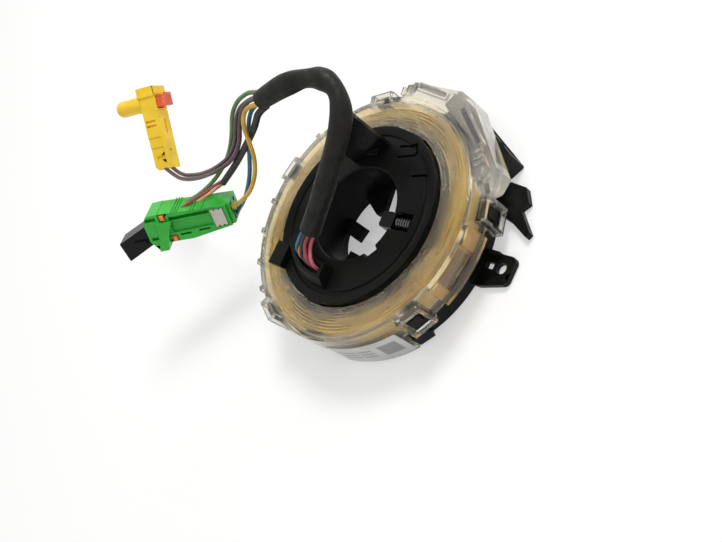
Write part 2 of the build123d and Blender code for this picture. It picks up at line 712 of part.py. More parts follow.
lead_peach_route = [
    (6.5, -60.1, 44.6), (7.4, -62.2, 44.0), (8.3, -64.2, 43.4), (10.1, -67.7, 42.4),
    (13.0, -69.7, 43.0), (16.9, -71.5, 44.4), (19.1, -72.4, 45.6), (21.3, -73.0, 47.0),
]


def cord(name, route, diameter):
    """A cord's solid: straight runs joined by arcs as large as the runs allow."""
    points = [Vector(*point) for point in route]
    runs = [end - start for start, end in zip(points, points[1:])]
    bends = []
    for before, after in zip(runs, runs[1:]):
        turn = before.get_angle(after)
        bends.append(0.45 * min(before.length, after.length) / tan(radians(turn / 2)))
    with BuildPart() as body:
        with BuildLine() as path:
            FilletPolyline(*points, radius=bends)
        with BuildSketch(Plane(origin=path.line @ 0, z_dir=path.line % 0)):
            Circle(diameter / 2)
        sweep()
    length = path.wires()[0].length
    filled = body.part.volume / (pi * diameter**2 / 4 * length)
    radii = [round(bend, 1) for bend in bends]
    print(f"{name}: length {length:.1f}, volume ratio {filled:.3f}, radii {radii}")
    return body.part


with BuildPart() as sleeve:
    add(cord("sleeve", sleeve_route, sleeve_diameter))
sleeve.part.label = "sleeve"
export_step(sleeve.part, "parts/sleeve.step")

with BuildPart() as wire_green:
    add(cord("wire_green", green_route, wire_diameter))
wire_green.part.label = "wire_green"
export_step(wire_green.part, "parts/wire_green.step")

with BuildPart() as wire_purple_a:
    add(cord("wire_purple_a", purple_a_route, wire_diameter))
wire_purple_a.part.label = "wire_purple_a"
export_step(wire_purple_a.part, "parts/wire_purple_a.step")

with BuildPart() as wire_purple_b:
    add(cord("wire_purple_b", purple_b_route, wire_diameter))
wire_purple_b.part.label = "wire_purple_b"
export_step(wire_purple_b.part, "parts/wire_purple_b.step")

with BuildPart() as wire_ochre:
    add(cord("wire_ochre", ochre_route, wire_diameter))
wire_ochre.part.label = "wire_ochre"
export_step(wire_ochre.part, "parts/wire_ochre.step")

with BuildPart() as wire_blue:
    add(cord("wire_blue", blue_route, wire_diameter))
wire_blue.part.label = "wire_blue"
export_step(wire_blue.part, "parts/wire_blue.step")

with BuildPart() as taped_bundle:
    add(cord("taped_bundle", bundle_route, bundle_diameter))
taped_bundle.part.label = "taped_bundle"
export_step(taped_bundle.part, "parts/taped_bundle.step")

with BuildPart() as lead_red:
    add(cord("lead_red", lead_red_route, lead_diameter))
lead_red.part.label = "lead_red"
export_step(lead_red.part, "parts/lead_red.step")

with BuildPart() as lead_peach:
    add(cord("lead_peach", lead_peach_route, lead_diameter))
lead_peach.part.label = "lead_peach"
export_step(lead_peach.part, "parts/lead_peach.step")

# short leads that fan out of the tower's slot into the sleeve's lower end
sleeve_entry = Vector(*sleeve_route[1]) - Vector(*sleeve_route[0])
sleeve_mouth = Plane(origin=sleeve_route[0], x_dir=(0.52, 0.85, 0), z_dir=sleeve_entry)
slot_middle = tower_inner + tower_wall + slot_width / 2
for index in range(tower_lead_count):
    angle = -29 + index * 5.4
    across = 2.0 * (index // 2 - 1)
    layer = 1.0 if index % 2 else -1.0
    route = [
        (*polar(slot_middle, angle), tower_base + slot_floor),
        (*polar(slot_middle - 0.6, angle), tower_base + tower_height + 3.0),
        tuple(sleeve_mouth.from_local_coords((1.3 * across, 1.2 * layer, -5.6)) + Vector(0, 0, 0.8)),
        tuple(sleeve_mouth.from_local_coords((across, layer, 1.5))),
    ]
    name = f"tower_lead_{index + 1}"
    with BuildPart() as tower_lead:
        add(cord(name, route, tower_lead_diameter))
    tower_lead.part.label = name
    export_step(tower_lead.part, f"parts/{name}.step")

# ---- yellow airbag plug -----------------------------------------------------------
# Its own plane has Y up its length and Z out of its broad face.
yellow_plane = Plane(origin=(-8.5, -123.3, 49.0), x_dir=(-0.445, 0.875, -0.190), z_dir=(0.453, 0.403, 0.796))
plug_left, plug_right = -3.5, 5.4
plug_bottom, plug_top = -19.2, 14.6
plug_back, plug_front = -3.2, 4.5
plug_width = plug_right - plug_left
plug_depth = plug_front - plug_back
head_top = 19.2
head_lip = 0.6
nozzle_radius = 3.8
nozzle_bore = 2.5
nozzle_tip = -18.2
nozzle_up = 12.4
nozzle_out = 0.6
bore_floor = -7.0
contact_length = 8.0
yellow_lock_travel = 2.2
yellow_lock_low, yellow_lock_high = 9.0, 14.0
yellow_lock_back, yellow_lock_front = -1.4, 3.4
yellow_lock_inner, yellow_lock_outer = 4.9, 10.6


def local_box(plane, low, high):
    """A box in a plug's own plane, from its lowest corner to its highest."""
    with BuildPart() as box:
        with BuildSketch(plane.offset(low[2])):
            with Locations((low[0], low[1])):
                Rectangle(high[0] - low[0], high[1] - low[1], align=Align.MIN)
        extrude(amount=high[2] - low[2])
    return box.part


# the nozzle points along the plug's own -X
nozzle_plane = Plane(
    origin=yellow_plane.from_local_coords((0, nozzle_up, nozzle_out)),
    x_dir=yellow_plane.y_dir,
    z_dir=-yellow_plane.x_dir,
)
with BuildPart() as yellow_housing:
    with BuildSketch(yellow_plane.offset(plug_back)):
        Polygon(
            (plug_left, plug_bottom + 1.6),
            (plug_left + 1.6, plug_bottom),
            (plug_right, plug_bottom),
            (plug_right, plug_top),
            (plug_left, plug_top),
            align=None,
        )
    extrude(amount=plug_depth)
    # head, a little proud all round
    with BuildSketch(yellow_plane.offset(plug_back - head_lip)):
        with Locations((plug_left - head_lip, plug_top)):
            RectangleRounded(plug_width + 2 * head_lip, head_top - plug_top, 0.8, align=Align.MIN)
    extrude(amount=plug_depth + 2 * head_lip)
    # two grooves across the broad face, and a slot near its lower end
    with BuildSketch(yellow_plane.offset(plug_front)):
        with Locations((0, 3.4), (0, 1.3)):
            Rectangle(5.6, 0.9)
        with Locations((1.2, -13.6)):
            Rectangle(5.0, 1.6)
    extrude(amount=-1.2, mode=Mode.SUBTRACT)
    # steps where the shell tapers towards its lower end
    for up, sink in ((-4.2, 0.3), (-8.8, 0.6)):
        with BuildSketch(yellow_plane.offset(plug_front - sink)):
            with Locations((plug_left, up)):
                Rectangle(plug_width - 1.6, up - plug_bottom, align=(Align.MIN, Align.MAX))
        extrude(amount=1, mode=Mode.SUBTRACT)
    # groove in the side face
    add(local_box(yellow_plane, (plug_right - 0.8, -3.0, 0.2), (plug_right + 1, 3.4, 1.2)), mode=Mode.SUBTRACT)
    add(local_box(yellow_plane, (plug_right - 0.8, -11.4, 0.4), (plug_right + 1, -10.2, 1.4)), mode=Mode.SUBTRACT)
    # round nozzle with a raised ring and a keyed bore
    with BuildSketch(nozzle_plane):
        Circle(nozzle_radius)
    extrude(amount=-nozzle_tip - 1.4)
    with BuildSketch(nozzle_plane.offset(-nozzle_tip - 1.4)):
        Circle(nozzle_radius)
    extrude(amount=1.4, taper=24)
    with BuildSketch(nozzle_plane.offset(-plug_left)):
        Circle(nozzle_radius + 0.4)
    extrude(amount=3.0)
    with BuildSketch(nozzle_plane.offset(-bore_floor)):
        Circle(nozzle_bore)
    extrude(amount=-nozzle_tip, mode=Mode.SUBTRACT)
    # recess that the lock is pushed into
    recess_low = (yellow_lock_inner - yellow_lock_travel, yellow_lock_low, yellow_lock_back)
    recess_high = (plug_right + 1, yellow_lock_high, yellow_lock_front)
    with BuildPart(mode=Mode.PRIVATE) as recess:
        add(local_box(yellow_plane, recess_low, recess_high))
        offset(amount=slide_gap, kind=Kind.INTERSECTION)
    add(recess.part, mode=Mode.SUBTRACT)
yellow_housing.part.label = "yellow_housing"
export_step(yellow_housing.part, "parts/yellow_housing.step")

with BuildPart() as yellow_lock:
    lock_low = (yellow_lock_inner, yellow_lock_low, yellow_lock_back)
    lock_high = (yellow_lock_outer, yellow_lock_high, yellow_lock_front)
    add(local_box(yellow_plane, lock_low, lock_high))
    # ridge under the finger
    ridge_low = (yellow_lock_outer - 1.2, yellow_lock_high, yellow_lock_back)
    ridge_high = (yellow_lock_outer, yellow_lock_high + 1.0, yellow_lock_front)
    add(local_box(yellow_plane, ridge_low, ridge_high))
yellow_lock.part.label = "yellow_lock"
export_step(yellow_lock.part, "parts/yellow_lock.step")

with BuildPart() as yellow_contacts:
    with BuildSketch(nozzle_plane.offset(-bore_floor)):
        with GridLocations(2.2, 1, 2, 1):
            Circle(0.5)
    extrude(amount=contact_length)
yellow_contacts.part.label = "yellow_contacts"
export_step(yellow_contacts.part, "parts/yellow_contacts.step")

# ---- green body plug ----------------------------------------------------------------
# Its own plane has X along its length towards the wires and Z out of its front.
green_plane = Plane(origin=(25.8, -75.1, 42.0), x_dir=(-0.543, 0.746, -0.386), z_dir=(0.637, 0.665, 0.390))
body_left, body_right = -11.2, 20.6
body_back, body_front = -6.0, 6.0
green_profile = [(-11.2, -5.8), (0.6, -6.2), (20.6, -3.4), (20.6, 6.4), (-11.2, 8.4)]
cap_profile = [(-11.2, -8.4), (-16.2, -8.6), (-18.8, -4.2), (-18.8, 5.4), (-16.4, 8.4), (-11.2, 8.6)]
flap_profile = [(-15.6, -8.5), (-11.2, -8.4), (-8.8, -1.8), (-5.6, 4.4), (-12.4, 4.9), (-13.4, -2.0)]
panel_profile = [(11.9, 5.6), (17.4, 5.4), (17.6, -2.6), (12.2, -2.8)]
black_profile = [(-18.8, 3.2), (-34.0, -3.2), (-32.6, -12.6), (-18.8, -6.4)]
green_lock_travel = 1.8
green_locks = [(-9.6, 6.5), (-7.4, -4.2)]
green_lock_size = 2.2

with BuildPart() as green_housing:
    with BuildSketch(green_plane.offset(body_back)):
        Polygon(*green_profile, align=None)
    extrude(amount=body_front - body_back)
    # long groove under the top rail, and the wide recess below it
    add(local_box(green_plane, (-6.8, 4.4, 3.6), (11.2, 6.0, 7)), mode=Mode.SUBTRACT)
    add(local_box(green_plane, (-7.0, -1.6, 4.8), (11.2, 3.6, 7)), mode=Mode.SUBTRACT)
    # seat of the white panel
    with BuildSketch(green_plane.offset(body_front)):
        with BuildSketch(mode=Mode.PRIVATE) as seat:
            Polygon(*panel_profile, align=None)
            offset(amount=slide_gap, kind=Kind.INTERSECTION)
        add(seat.sketch)
    extrude(amount=-1.2, mode=Mode.SUBTRACT)
    # drain slots along the lower edge, and a step at the wire end
    add(local_box(green_plane, (-4.4, -3.6, 3.6), (0.4, -2.7, 7)), mode=Mode.SUBTRACT)
    add(local_box(green_plane, (4.2, -3.2, 3.6), (9.2, -2.3, 7)), mode=Mode.SUBTRACT)
    add(local_box(green_plane, (19.2, -4, 4.8), (21, 7, 7)), mode=Mode.SUBTRACT)
    # ribs across the top
    for along, tall in ((-5.0, 0.5), (-3.8, 0.5), (-2.6, 0.5), (3.4, 0.4), (4.6, 0.4), (8.4, 0.4)):
        crest = 8.1 + tall - 0.063 * (along + 5)
        add(local_box(green_plane, (along, 5.6, body_back), (along + 0.5, crest, body_front)))
    # pockets that the two locks are pushed into
    for along, up in green_locks:
        reach = green_lock_size / 2 + slide_gap
        add(local_box(green_plane, (along - reach, up - reach, 0.4), (along + reach, up + reach, 8)), mode=Mode.SUBTRACT)
    # terminal holes in the wire end
    wire_end = Plane(
        origin=green_plane.from_local_coords((body_right, 0, 0)),
        x_dir=green_plane.y_dir,
        z_dir=green_plane.x_dir,
    )
    with BuildSketch(wire_end):
        with Locations((4.4, -2.6), (0.2, -3.2), (-1.4, 2.4), (5.0, 2.6)):
            Circle(wire_diameter / 2 + 0.1)
    extrude(amount=-6, mode=Mode.SUBTRACT)
green_housing.part.label = "green_housing"
export_step(green_housing.part, "parts/green_housing.step")

with BuildPart() as green_cap:
    with BuildSketch(green_plane.offset(body_back)):
        Polygon(*cap_profile, align=None)
    extrude(amount=body_front - body_back + 0.3)
    with BuildSketch(green_plane.offset(body_front + 0.3)):
        Polygon(*flap_profile, align=None)
    extrude(amount=1.8)
    # hollows on its front, above the flap
    add(local_box(green_plane, (-17.4, 5.6, 4.2), (-12.6, 7.2, 8)), mode=Mode.SUBTRACT)
    add(local_box(green_plane, (-17.6, -3.6, 4.6), (-14.6, -2.2, 8)), mode=Mode.SUBTRACT)
green_cap.part.label = "green_cap"
export_step(green_cap.part, "parts/green_cap.step")

with BuildPart() as white_panel:
    with BuildSketch(green_plane.offset(body_front - 1.2)):
        Polygon(*panel_profile, align=None)
    extrude(amount=1.5)
    # notches in its two short edges
    for along in (13.4, 15.6):
        add(local_box(green_plane, (along, 4.9, 4), (along + 0.7, 6, 9)), mode=Mode.SUBTRACT)
        add(local_box(green_plane, (along, -3, 4), (along + 0.7, -2.1, 9)), mode=Mode.SUBTRACT)
white_panel.part.label = "white_panel"
export_step(white_panel.part, "parts/white_panel.step")

for name, (along, up) in zip(("orange_lock_a", "orange_lock_b"), green_locks):
    half = green_lock_size / 2
    with BuildPart() as orange_lock:
        lock_low = (along - half, up - half, 2.6)
        lock_high = (along + half, up + half, body_front + 0.8)
        add(local_box(green_plane, lock_low, lock_high))
        chamfer(orange_lock.faces().sort_by(Axis((0, 0, 0), green_plane.z_dir))[-1].edges()[0], 0.7)
    orange_lock.part.label = name
    export_step(orange_lock.part, f"parts/{name}.step")

with BuildPart() as black_plug:
    with BuildSketch(green_plane.offset(-4.2)):
        Polygon(*black_profile, align=None)
    extrude(amount=8.4)
    # four terminal holes in its outer end
    low, high = Vector(*black_profile[2]), Vector(*black_profile[1])
    middle = (low + high) / 2
    rise = green_plane.from_local_coords(high) - green_plane.from_local_coords(low)
    outer_end_plane = Plane(
        origin=green_plane.from_local_coords((middle.X, middle.Y, 0)),
        x_dir=rise,
        z_dir=rise.cross(-green_plane.z_dir) * -1,
    )
    with BuildSketch(outer_end_plane):
        with GridLocations(4.2, 3.6, 2, 2):
            Rectangle(2.2, 2.2)
    extrude(amount=-6, mode=Mode.SUBTRACT)
    # latch rib along its front
    add(local_box(green_plane, (-27.0, -5.4, 4.2), (-21.0, -3.4, 5.2)))
black_plug.part.label = "black_plug"
export_step(black_plug.part, "parts/black_plug.step")
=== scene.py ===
# %% [markdown]
# # Steering clock spring
#
# A clock spring sits between a steering column and its wheel. A clear ring holds a wound
# flat cable, a black rotor turns inside it, and a short harness carries the airbag and
# switch wires up to the wheel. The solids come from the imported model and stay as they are.
# This script gives them their finishes, and lays the sleeve and its wires as smooth curves.

from math import cos, radians, sin

import bpy
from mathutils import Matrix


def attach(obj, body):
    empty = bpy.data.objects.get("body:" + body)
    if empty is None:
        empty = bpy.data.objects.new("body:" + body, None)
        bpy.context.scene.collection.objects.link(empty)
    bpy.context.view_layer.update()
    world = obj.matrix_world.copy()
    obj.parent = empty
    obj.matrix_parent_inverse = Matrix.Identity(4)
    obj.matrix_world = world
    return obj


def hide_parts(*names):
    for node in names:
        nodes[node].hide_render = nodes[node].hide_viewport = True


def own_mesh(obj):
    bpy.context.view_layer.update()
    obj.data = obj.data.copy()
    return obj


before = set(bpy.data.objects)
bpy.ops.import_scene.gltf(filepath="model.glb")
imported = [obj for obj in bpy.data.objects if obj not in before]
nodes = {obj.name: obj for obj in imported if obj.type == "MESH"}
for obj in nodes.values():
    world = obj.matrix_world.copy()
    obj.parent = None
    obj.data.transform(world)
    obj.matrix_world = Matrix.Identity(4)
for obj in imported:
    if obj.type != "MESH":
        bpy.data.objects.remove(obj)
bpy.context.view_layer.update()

# %% [markdown]
# ## Units
#
# Drawings of small moulded parts are in millimetres, and Blender works in metres. One
# small function turns a drawing's point into Blender's.

# %% A point in millimetres
MM = 0.001


def mm(*values):
    """Millimetres to metres, for one number or a point."""
    if len(values) == 1:
        return values[0] * MM
    return tuple(v * MM for v in values)


# %% [markdown]
# ## The camera
#
# A product picture of a part this size is taken from about 35 cm, with a normal lens.
# The camera is rolled, so the ring leans across the frame and the harness runs off to
# the left. Place and rotation are plain numbers, because a tracked camera can't roll.

# %% Camera
camera_data = bpy.data.cameras.new("camera")
camera_data.sensor_width = 36
camera_data.lens = 44.88
camera_data.clip_start = 0.01
camera = bpy.data.objects.new("camera", camera_data)
bpy.context.scene.collection.objects.link(camera)
camera.location = mm(58.66, 255.09, 255.9)
camera.rotation_euler = (radians(28.709), radians(38.066), radians(122.615))
bpy.context.scene.camera = camera
print("lens:", round(camera_data.lens, 2), "mm")

# %% [markdown]
# ## Finishes, built from nodes
#
# Every finish here starts from the same Principled shader. A picture wrapped round the
# part would look right from one side only, so the colours come from nodes instead, which
# work on any shape. Two small helpers keep the recipes short: one starts a material, and
# one adds a node with its settings.


# %% Start a material, add a node
def start_material(name):
    """A new material with its node tree, and the Principled shader in it."""
    material = bpy.data.materials.new(name)
    material.use_nodes = True
    tree = material.node_tree
    shader = tree.nodes["Principled BSDF"]
    return material, tree, shader


def add_node(tree, kind, **settings):
    """Adds a node and sets its sockets, by name, and its own options."""
    node = tree.nodes.new(kind)
    for key, value in settings.items():
        if key in node.inputs:
            node.inputs[key].default_value = value
        else:
            setattr(node, key, value)
    return node


print("helpers: start_material, add_node")

# %% [markdown]
# ## Noise, ramps and bumps
#
# What makes plastic look moulded is small: the colour drifts a little, the gloss is uneven
# where hands have been, and a fine grain breaks up the highlights. All three are a noise
# that a ramp turns into colours or greys. Object coordinates are in metres, so a noise
# scale of 900 gives grains of about a millimetre. Grain this fine isn't worth triangles,
# so it is a bump, which only tilts the light.


# %% Noise, ramps and bumps
def place_on_part(tree):
    """Where a point lies on the part, in metres."""
    return add_node(tree, "ShaderNodeTexCoord").outputs["Object"]


def noise(tree, scale, detail=3.0, roughness=0.5, stretch=None):
    """A noise texture in object coordinates, stretched if asked."""
    texture = add_node(tree, "ShaderNodeTexNoise", Scale=scale, Detail=detail, Roughness=roughness)
    source = place_on_part(tree)
    if stretch:
        mapping = add_node(tree, "ShaderNodeMapping", Scale=stretch)
        tree.links.new(source, mapping.inputs["Vector"])
        source = mapping.outputs["Vector"]
    tree.links.new(source, texture.inputs["Vector"])
    return texture.outputs["Fac"]


def ramp(tree, value, low, high, at=(0.3, 0.7)):
    """Maps a value from 0..1 to colours or greys between two stops."""
    node = add_node(tree, "ShaderNodeValToRGB")
    stops = node.color_ramp.elements
    stops[0].position, stops[1].position = at
    stops[0].color, stops[1].color = low, high
    tree.links.new(value, node.inputs["Fac"])
    return node.outputs["Color"]


def grey(level):
    """A grey with full alpha."""
    return (level, level, level, 1)


def shade(colour, factor):
    """A colour made lighter or darker."""
    return tuple(min(1.0, c * factor) for c in colour[:3]) + (1,)


def uneven_gloss(tree, shader, pattern, low, high):
    """Roughness that follows a pattern, between two values."""
    tree.links.new(ramp(tree, pattern, grey(low), grey(high)), shader.inputs["Roughness"])


def bump(tree, shader, height, strength, depth):
    """Sends a height to the shader's normal; the depth is in millimetres."""
    node = add_node(tree, "ShaderNodeBump", Strength=strength, Distance=mm(depth))
    tree.links.new(height, node.inputs["Height"])
    tree.links.new(node.outputs["Normal"], shader.inputs["Normal"])


print("helpers: noise, ramp, grey, shade, uneven_gloss, bump")

# %% [markdown]
# ## Moulded plastic
#
# The rotor, base and plugs are injection moulded. Each could have a material of its own
# from scratch, but they differ only in colour, gloss and grain, so one function makes
# them all. The blacks reflect little, as glass-filled nylon does, so mostly their edges
# catch the light. The bright plugs let a little light in under the surface.


# %% Moulded plastic
def moulded(name, colour, rough, grain=2600, relief=0.12, drift=0.18, soft=0.0, gloss=0.5):
    """Moulded plastic: drifting colour, uneven gloss and a fine grain."""
    material, tree, shader = start_material(name)
    shader.inputs["Specular IOR Level"].default_value = gloss
    patches = noise(tree, 90, detail=4)
    base = ramp(tree, patches, shade(colour, 1 - drift), shade(colour, 1 + drift))
    tree.links.new(base, shader.inputs["Base Color"])
    rubbed = noise(tree, 260, detail=5, roughness=0.6)
    uneven_gloss(tree, shader, rubbed, *rough)
    bump(tree, shader, noise(tree, grain, detail=2), strength=relief, depth=0.1)
    if soft:
        shader.inputs["Subsurface Weight"].default_value = soft
        shader.inputs["Subsurface Radius"].default_value = mm(1, 0.8, 0.5)
    return material


black_base = moulded("black_base", (0.0042, 0.0048, 0.0042), rough=(0.26, 0.46), gloss=0.09)
black_rotor = moulded("black_rotor", (0.0046, 0.0052, 0.0044), rough=(0.28, 0.48), gloss=0.08)
black_gloss = moulded(
    "black_gloss", (0.0045, 0.005, 0.005), rough=(0.14, 0.3), relief=0.05, gloss=0.14
)
yellow = moulded("plug_yellow", (0.87, 0.56, 0.012), rough=(0.25, 0.42), drift=0.1, soft=0.1)
green = moulded("plug_green", (0.012, 0.36, 0.022), rough=(0.22, 0.4), drift=0.14, soft=0.05)
cap_green = moulded("cap_green", (0.016, 0.40, 0.022), rough=(0.2, 0.36), drift=0.12, soft=0.05)
orange = moulded("lock_orange", (0.93, 0.20, 0.045), rough=(0.25, 0.4), drift=0.1, soft=0.1)
ivory = moulded("panel_white", (0.52, 0.51, 0.43), rough=(0.35, 0.5), drift=0.06)
plastics = (black_base, black_rotor, black_gloss, yellow, green, cap_green, orange, ivory)
print("moulded:", [plastic.name for plastic in plastics])

# %% [markdown]
# ## Painting by place
#
# Some finishes change from place to place, such as the cover, which is amber against the
# cable and colourless further out. An image map would need an unwrapped mesh. Here the
# part stands on its own axis, so the distance from the axis, the angle round it and the
# height are enough to say where a colour goes. Each gives a mask of 0 to 1, masks are
# multiplied where they meet, and a mix lays a colour over another.


# %% Multiply masks, mix colours
def product(tree, first, second):
    """Two values multiplied."""
    node = add_node(tree, "ShaderNodeMath", operation="MULTIPLY")
    for socket, value in zip(node.inputs, (first, second)):
        if isinstance(value, (int, float)):
            socket.default_value = value
        else:
            tree.links.new(value, socket)
    return node.outputs["Value"]


def mix(tree, factor, first, second):
    """Blends two colours; each is a plain colour or another node's output."""
    node = add_node(tree, "ShaderNodeMix", data_type="RGBA")
    tree.links.new(factor, node.inputs["Factor"])
    for socket, value in (("A", first), ("B", second)):
        target = [i for i in node.inputs if i.name == socket and i.type == "RGBA"][0]
        if isinstance(value, tuple):
            target.default_value = value
        else:
            tree.links.new(value, target)
    return [o for o in node.outputs if o.type == "RGBA"][0]


print("helpers: product, mix")

# %% [markdown]
# ## Round the axis
#
# The cable is wound, and the cover is rubbed as it is wiped round, so their marks are arcs.
# Plain noise would give blots. To draw it out into arcs, the noise is read at a point that
# moves slowly with the direction from the axis and fast with the distance from it.


# %% Arcs and distances round the axis
def flat_place(tree):
    """The place on the part, without its height."""
    flat = add_node(tree, "ShaderNodeVectorMath", operation="MULTIPLY")
    flat.inputs[1].default_value = (1, 1, 0)
    tree.links.new(place_on_part(tree), flat.inputs[0])
    return flat.outputs["Vector"]


def radius_at(tree, flat):
    """The distance of a flat place from the axis, in metres."""
    radius = add_node(tree, "ShaderNodeVectorMath", operation="LENGTH")
    tree.links.new(flat, radius.inputs[0])
    return radius.outputs["Value"]


def around_axis(tree, around, across):
    """A noise drawn out in arcs round the part's axis: slow around it, fine across it."""
    flat = flat_place(tree)
    direction = add_node(tree, "ShaderNodeVectorMath", operation="NORMALIZE")
    slow = add_node(tree, "ShaderNodeVectorMath", operation="SCALE", Scale=around)
    lift = add_node(tree, "ShaderNodeCombineXYZ")
    both = add_node(tree, "ShaderNodeVectorMath", operation="ADD")
    texture = add_node(tree, "ShaderNodeTexNoise", Scale=1.0, Detail=4.0, Roughness=0.6)
    tree.links.new(flat, direction.inputs[0])
    tree.links.new(direction.outputs["Vector"], slow.inputs[0])
    tree.links.new(product(tree, radius_at(tree, flat), across), lift.inputs["Z"])
    tree.links.new(slow.outputs["Vector"], both.inputs[0])
    tree.links.new(lift.outputs["Vector"], both.inputs[1])
    tree.links.new(both.outputs["Vector"], texture.inputs["Vector"])
    return texture.outputs["Fac"]


def rise(tree, value, start, end):
    """0 to 1 as a value goes from start to end."""
    step = add_node(tree, "ShaderNodeMapRange")
    step.inputs["From Min"].default_value = start
    step.inputs["From Max"].default_value = end
    tree.links.new(value, step.inputs["Value"])
    return step.outputs["Result"]


def axis_distance(tree, start, end):
    """0 to 1 between two distances from the part's axis, in millimetres."""
    return rise(tree, radius_at(tree, flat_place(tree)), mm(start), mm(end))


print("helpers: around_axis, axis_distance")

# %% [markdown]
# ## Fields on the part
#
# A field is where a value lies between two numbers: two heights, two angles, or two
# distances along a direction. A hard edge would alias, and no real print or tint has one,
# so each edge gets a short soft step.


# %% Sectors, heights and strips
def between(tree, value, low, high, soft):
    """1 while a value is between two numbers and 0 outside, with a soft step at each."""
    return product(tree, rise(tree, value, low - soft, low), rise(tree, value, high + soft, high))


def place_parts(tree):
    """The place on the part, split into x, y and z."""
    parts = add_node(tree, "ShaderNodeSeparateXYZ")
    tree.links.new(place_on_part(tree), parts.inputs["Vector"])
    return parts.outputs


def sector(tree, start, end, soft=2.0):
    """1 between two angles round the axis, in degrees from +x (0 to 180)."""
    parts = place_parts(tree)
    angle = add_node(tree, "ShaderNodeMath", operation="ARCTAN2")
    tree.links.new(parts["Y"], angle.inputs[0])
    tree.links.new(parts["X"], angle.inputs[1])
    return between(tree, angle.outputs["Value"], radians(start), radians(end), radians(soft))


def at_height(tree, low, high, soft=0.3):
    """1 between two heights over the back face, in millimetres."""
    return between(tree, place_parts(tree)["Z"], mm(low), mm(high), mm(soft))


def strip(tree, angle, near, far, half_length, soft=0.2):
    """1 on a straight strip that lies across the direction of an angle, in degrees and mm."""
    outward = (cos(radians(angle)), sin(radians(angle)), 0)
    sideways = (-outward[1], outward[0], 0)
    masks = []
    for direction, low, high in ((outward, near, far), (sideways, -half_length, half_length)):
        along = add_node(tree, "ShaderNodeVectorMath", operation="DOT_PRODUCT")
        along.inputs[1].default_value = direction
        tree.links.new(place_on_part(tree), along.inputs[0])
        masks.append(between(tree, along.outputs["Value"], mm(low), mm(high), mm(soft)))
    return product(tree, *masks)


print("helpers: sector, at_height, strip")

# %% [markdown]
# ## Clear plastic
#
# The cover is clear polycarbonate. Mixing in some transparency would be quick, but only
# real refraction gives the bent edges that make it read as clear, and lets the winding
# show through. Where the wall stands against the cable it takes on the cable's amber, with
# greasy marks round it. Further out it is colourless, apart from the lobe, which is the
# deepest amber of all.

# %% Colour of the clear cover
clear, tree, shader = start_material("clear_amber")
smear_dark, smear_light = (0.86, 0.73, 0.46, 1), (0.98, 0.89, 0.66, 1)
smears = around_axis(tree, around=1.6, across=420)
smudge = ramp(tree, smears, smear_dark, smear_light, at=(0.34, 0.64))
outward = axis_distance(tree, 51.8, 53.8)  # from the flat face's rim to the walls
colourless = (0.83, 0.80, 0.71, 1)
tint = mix(tree, outward, smudge, colourless)

lobe_angles, lobe_top = (64, 97), 24.0
lobe = product(tree, sector(tree, *lobe_angles), at_height(tree, 0, lobe_top, soft=1.0))
deep_amber = (0.85, 0.55, 0.12, 1)
tint = mix(tree, product(tree, lobe, outward), tint, deep_amber)
print("clear cover:", clear.name)

# %% [markdown]
# ## Window and grooves of the cover
#
# The lobe has a sunk window, and each of the two bars on the hood has a groove. Both look
# dark, because little light gets to the bottom of them. They could be left to refraction,
# but clear walls this thin keep them too pale, so their shade is painted as a darker tint.

# %% Painted shade in the window and grooves
window_angles, window_heights = (73, 88), (13, 21.5)
window = product(tree, sector(tree, *window_angles, soft=0.6), at_height(tree, *window_heights))
window = product(tree, window, axis_distance(tree, 48.5, 49.5))
# painted shade: the bottom of the sunk window is darkened, since little light reaches it
tint = mix(tree, window, tint, (0.30, 0.23, 0.15, 1))

groove_near, groove_far, bar_end, groove_heights = 54.9, 56.7, 1, (23.6, 28)
hood_bars = {170: 17.5, 140: 21.0}  # direction in degrees, length in millimetres
for angle, length in hood_bars.items():
    along_bar = strip(tree, angle, groove_near, groove_far, length / 2 - bar_end)
    groove = product(tree, along_bar, at_height(tree, *groove_heights))
    # painted shade at the bottom of each groove
    tint = mix(tree, groove, tint, (0.15, 0.12, 0.125, 1))
tree.links.new(tint, shader.inputs["Base Color"])
print("grooves:", len(hood_bars))

# %% [markdown]
# ## Haze on the clear plastic
#
# The face is worn by years of wiping: fine swirls blur what lies under it, while the
# skirt, frames and hood stay polished. The haze is roughness and not a second layer, so
# the swirls blur the cable as real scratches do. The hood's plates are a little milky, so
# they let less light through. An alpha just under 1 lets some light go straight through
# the whole cover, which keeps what is behind it from going dark.

# %% Haze of the clear cover
hood_angles, milk = (112, 179), 0.17
milky = product(tree, product(tree, sector(tree, *hood_angles), outward), milk)
see_through = ramp(tree, milky, grey(1), grey(0), at=(0, 1))
tree.links.new(see_through, shader.inputs["Transmission Weight"])
shader.inputs["IOR"].default_value = 1.5
shader.inputs["Alpha"].default_value = 0.87

swirls = around_axis(tree, around=2.4, across=300)
haze = ramp(tree, swirls, grey(0.16), grey(0.42), at=(0.35, 0.7))
polish = ramp(tree, noise(tree, 200, detail=4), grey(0.03), grey(0.12))
worn_to_polished = mix(tree, axis_distance(tree, 48.6, 50.2), haze, polish)
tree.links.new(worn_to_polished, shader.inputs["Roughness"])
bump(tree, shader, noise(tree, 420, detail=4), strength=0.12, depth=0.3)
print("nodes in the cover's finish:", len(tree.nodes))

# %% [markdown]
# ## The winding
#
# The flat cable is copper strip between two amber films, wound on edge. The turns are
# already in the solid, so this finish only has to colour them. From above only their
# edges show, as fine rings, with darker places where turns lean together. Next to the
# rotor the film is grey with rubbed-off dust, in streaks that follow the turns.

